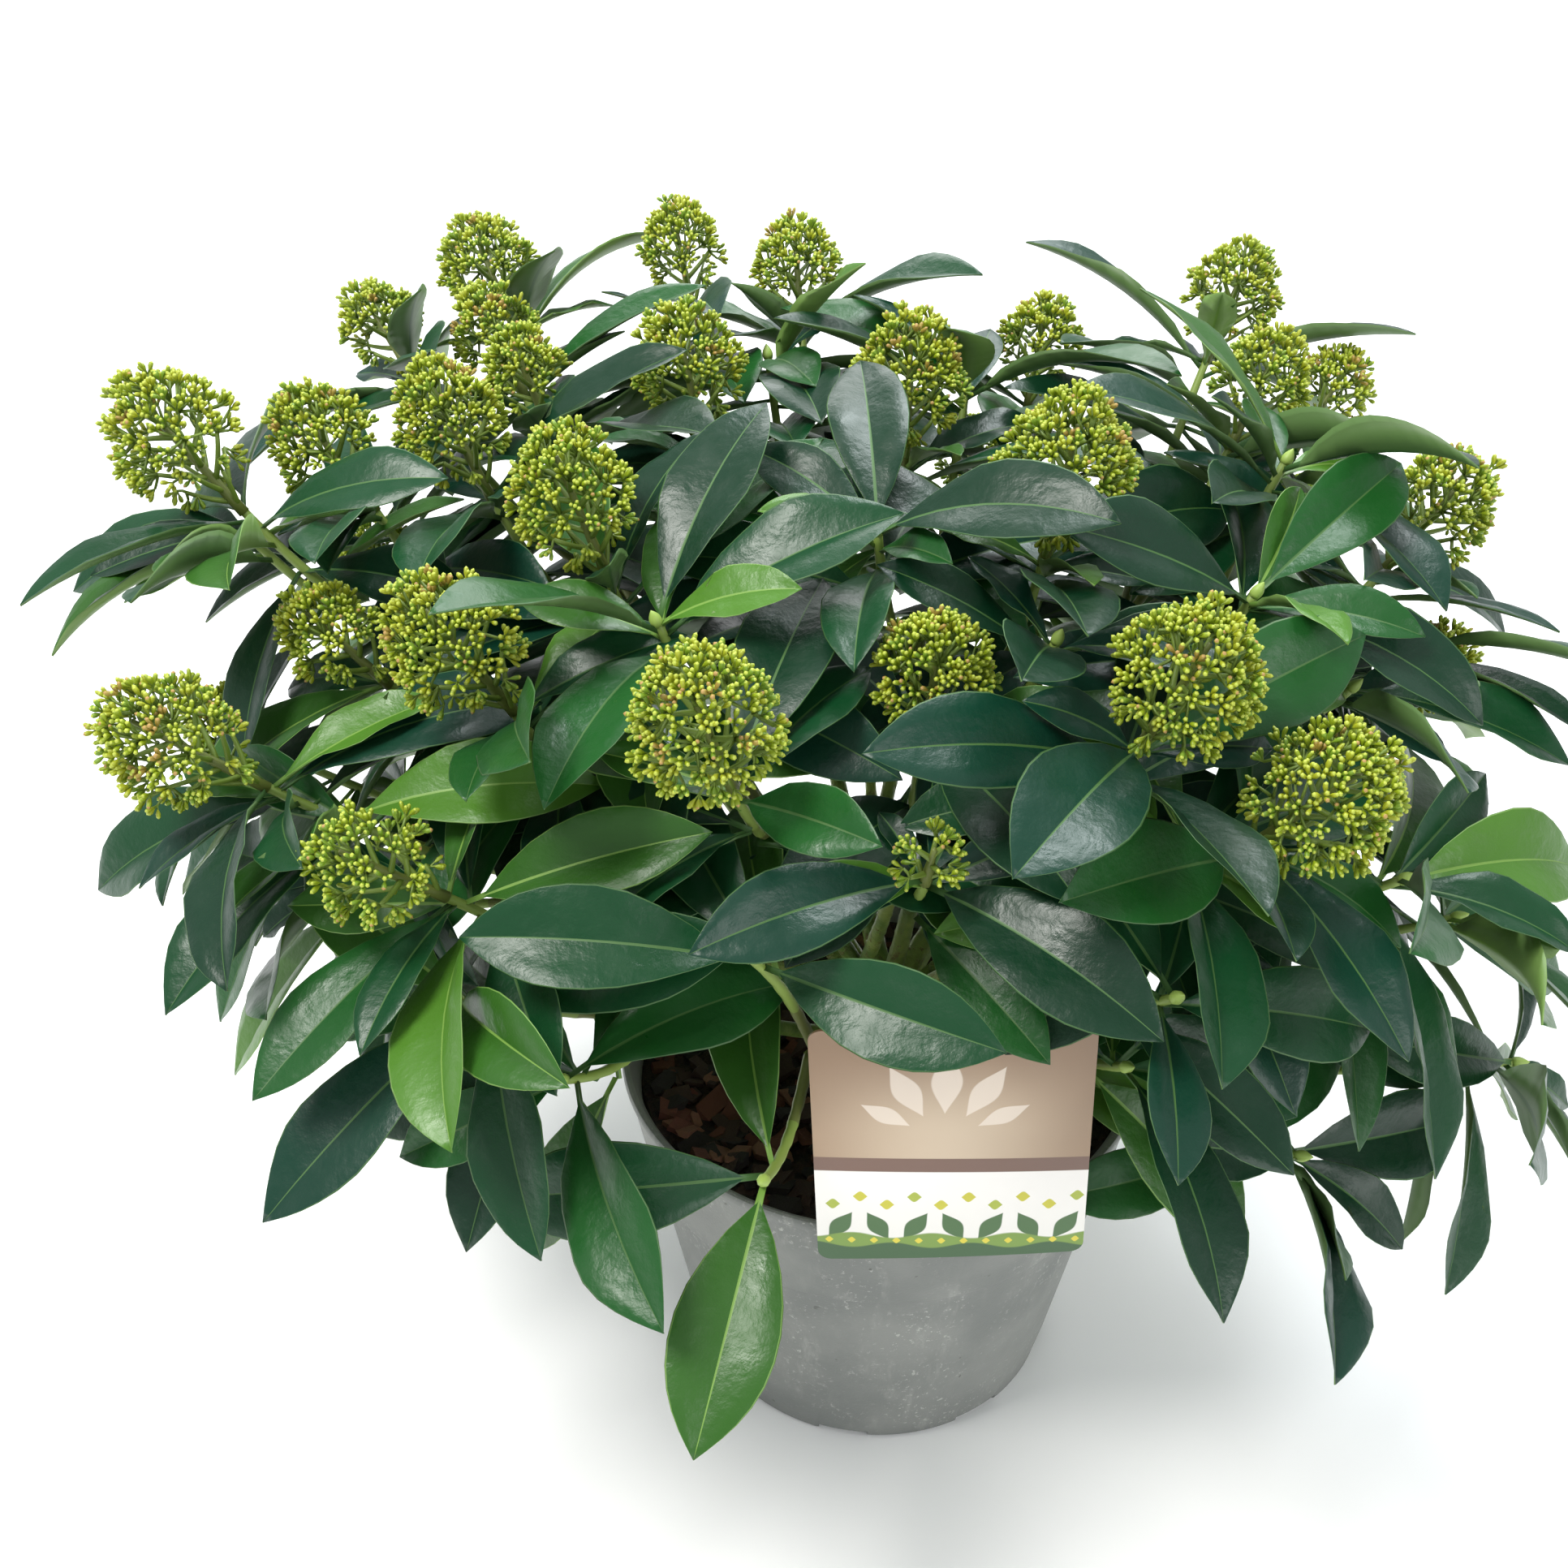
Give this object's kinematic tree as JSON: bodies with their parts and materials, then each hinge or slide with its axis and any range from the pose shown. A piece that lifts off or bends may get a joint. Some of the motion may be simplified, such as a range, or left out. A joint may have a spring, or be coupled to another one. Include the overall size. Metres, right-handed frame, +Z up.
{
  "type": "potted skimmia shrub",
  "caption": "Low, wide evergreen skimmia in bud, with tufts of glossy leaves round domed heads of green-yellow flower buds, in a round grey nursery pot with a plain card.",
  "frame": {"origin": "middle of the pot's flat underside", "axes": "+Z up, +X to the right along the crown's longest spread, -Y the front, where the card is"},
  "size_m": [0.6252, 0.5391, 0.4538],
  "materials": {
    "pot_plastic": "scuffed moulded grey plastic",
    "potting_bark": "dark compost with red-brown bark chips",
    "card_plastic": "smooth printed sheet",
    "stem_bark": "rough green-brown bark",
    "green_stem": "smooth green young bark",
    "foliage": "glossy dark evergreen leaves and matt yellow-green buds"
  },
  "bodies": {
    "root": {"bough_back": "green_stem", "bough_back_left": "green_stem", "bough_back_right": "green_stem", "bough_centre": "green_stem", "bough_centre_back": "green_stem", "bough_centre_front": "green_stem", "bough_far_left": "green_stem", "bough_front": "green_stem", "bough_front_right": "green_stem", "bough_left": "green_stem", "bough_low_front": "green_stem", "bough_low_front_right": "green_stem", "bough_low_left": "green_stem", "bough_low_right": "green_stem", "bough_outer_right": "green_stem", "bough_right": "green_stem", "bough_skirt_1": "green_stem", "bough_skirt_2": "green_stem", "bough_skirt_3": "green_stem", "bough_skirt_4": "green_stem", "bough_skirt_5": "green_stem", "bough_upper_left": "green_stem", "card": "card_plastic", "foliage_back": "foliage", "foliage_back_left": "foliage", "foliage_back_right": "foliage", "foliage_centre": "foliage", "foliage_centre_back": "foliage", "foliage_centre_front": "foliage", "foliage_far_left": "foliage", "foliage_front": "foliage", "foliage_front_right": "foliage", "foliage_left": "foliage", "foliage_low_front": "foliage", "foliage_low_front_right": "foliage", "foliage_low_left": "foliage", "foliage_low_right": "foliage", "foliage_outer_right": "foliage", "foliage_right": "foliage", "foliage_skirt_1": "foliage", "foliage_skirt_2": "foliage", "foliage_skirt_3": "foliage", "foliage_skirt_4": "foliage", "foliage_skirt_5": "foliage", "foliage_upper_left": "foliage", "pot": "pot_plastic", "soil": "potting_bark", "trunk": "stem_bark"}
  },
  "joints": []
}
